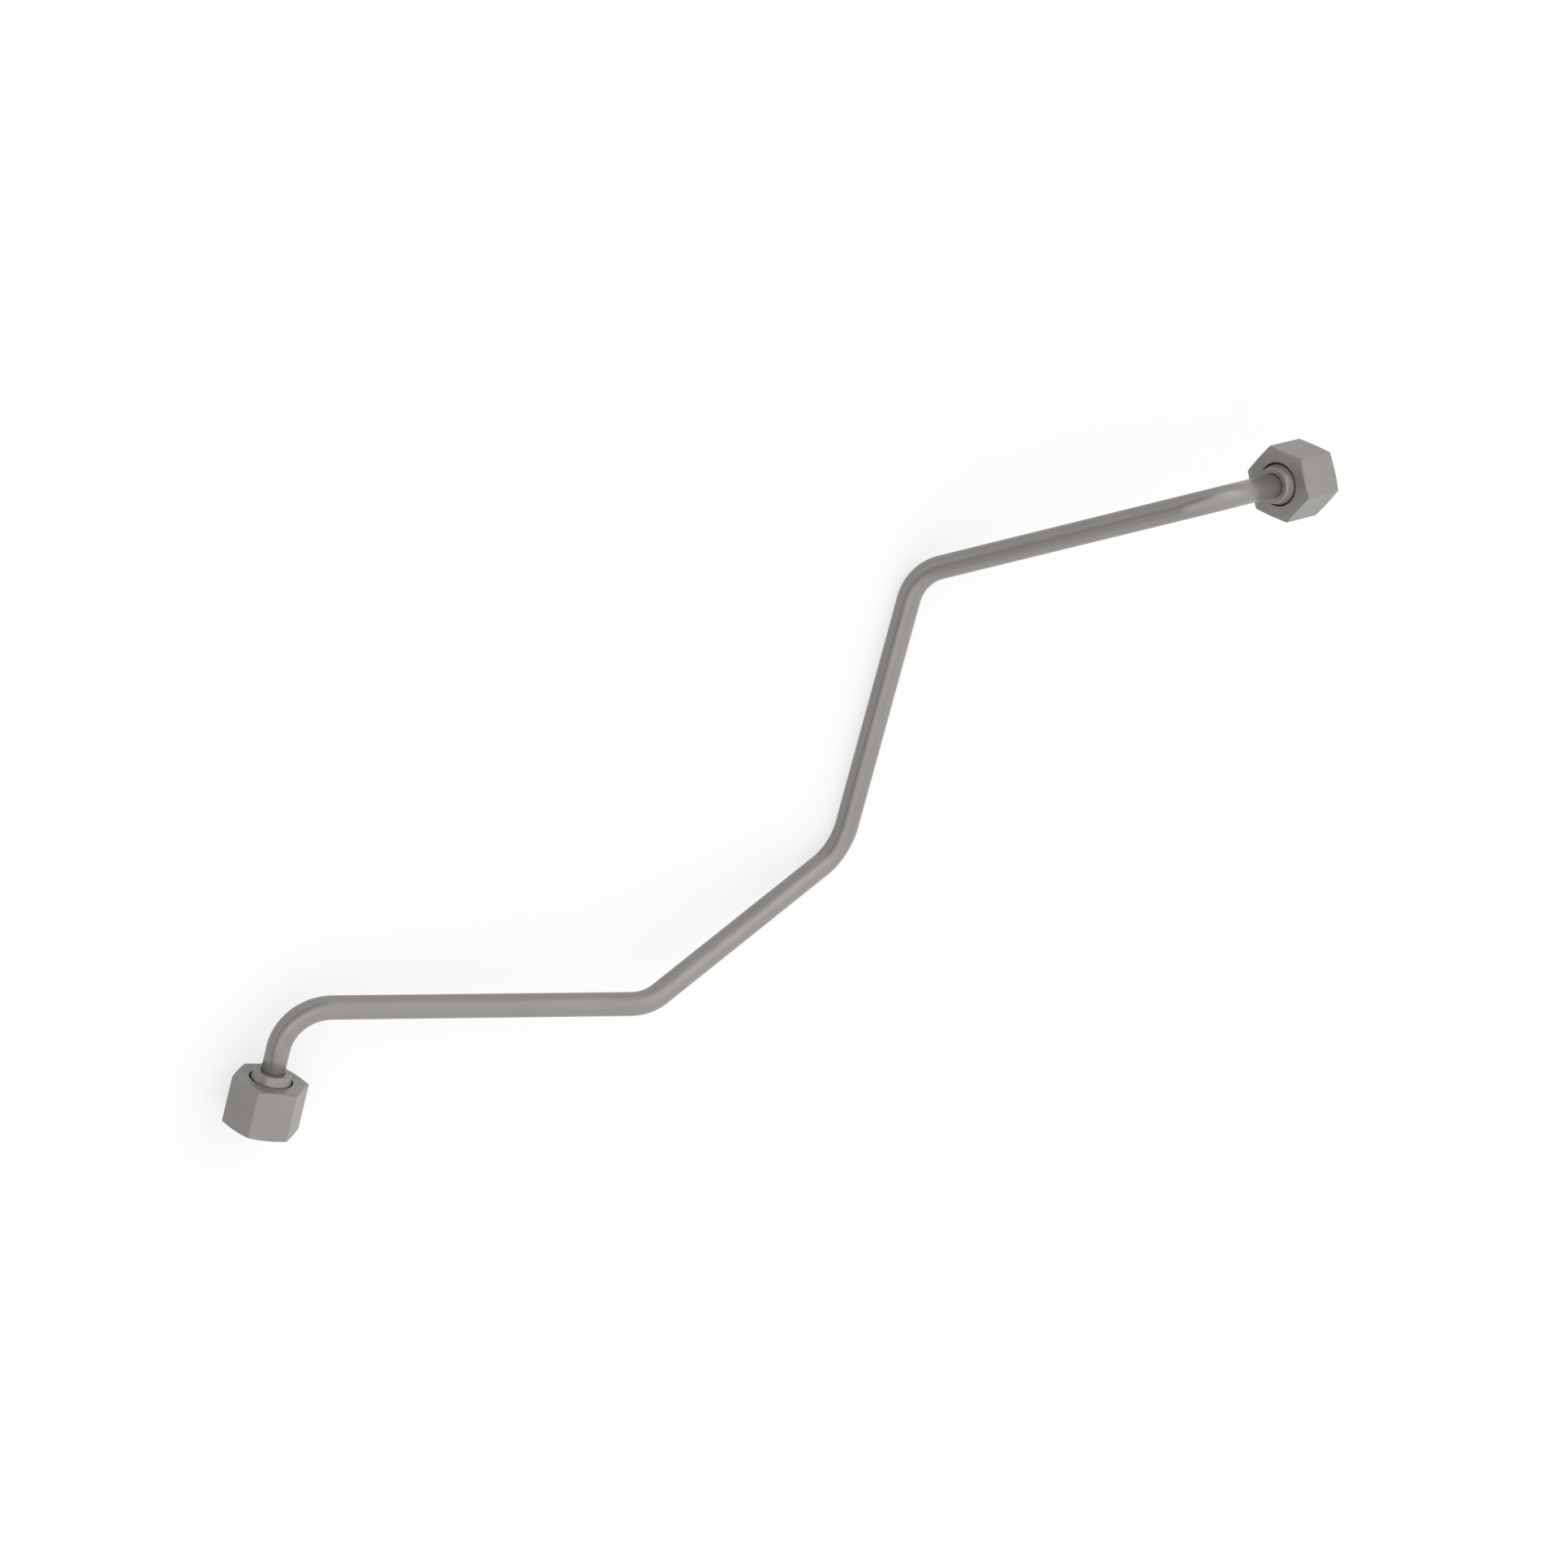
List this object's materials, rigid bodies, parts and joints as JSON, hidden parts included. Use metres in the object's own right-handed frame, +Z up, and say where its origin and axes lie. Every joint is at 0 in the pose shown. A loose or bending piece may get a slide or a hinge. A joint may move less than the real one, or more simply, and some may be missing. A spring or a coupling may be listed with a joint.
{
  "type": "bent tube assembly",
  "caption": "Rigid steel fluid line: a tube bent in several planes, with a brazed flat-face sleeve and a captive swivel hexagon nut on each end.",
  "frame": {"origin": "on the floor, under the middle of the part's bounding box as it lies at rest", "axes": "+Z up from the floor it lies on; the left end and the third run lie along +Y, and the part's longest extent is along +X"},
  "size_m": [0.2386, 0.2141, 0.0541],
  "materials": {
    "tube_steel": "satin zinc plating",
    "sleeve_steel": "turned, satin zinc plating",
    "nut_steel": "drawn hexagon bar, satin zinc plating"
  },
  "bodies": {
    "tube": {"tube": "tube_steel", "left_sleeve": "sleeve_steel", "right_sleeve": "sleeve_steel"},
    "left_nut": {"left_nut": "nut_steel"},
    "right_nut": {"right_nut": "nut_steel"}
  },
  "joints": [
    {"name": "left_nut_spin", "type": "hinge", "parent": "tube", "child": "left_nut", "pos_m": [-0.10953, -0.0996, 0.0091], "axis": [0, -1, 0], "continuous": true},
    {"name": "right_nut_spin", "type": "hinge", "parent": "tube", "child": "right_nut", "pos_m": [0.10902, 0.09778, 0.04136], "axis": [0.9159, 0.1108, -0.3859], "continuous": true}
  ]
}
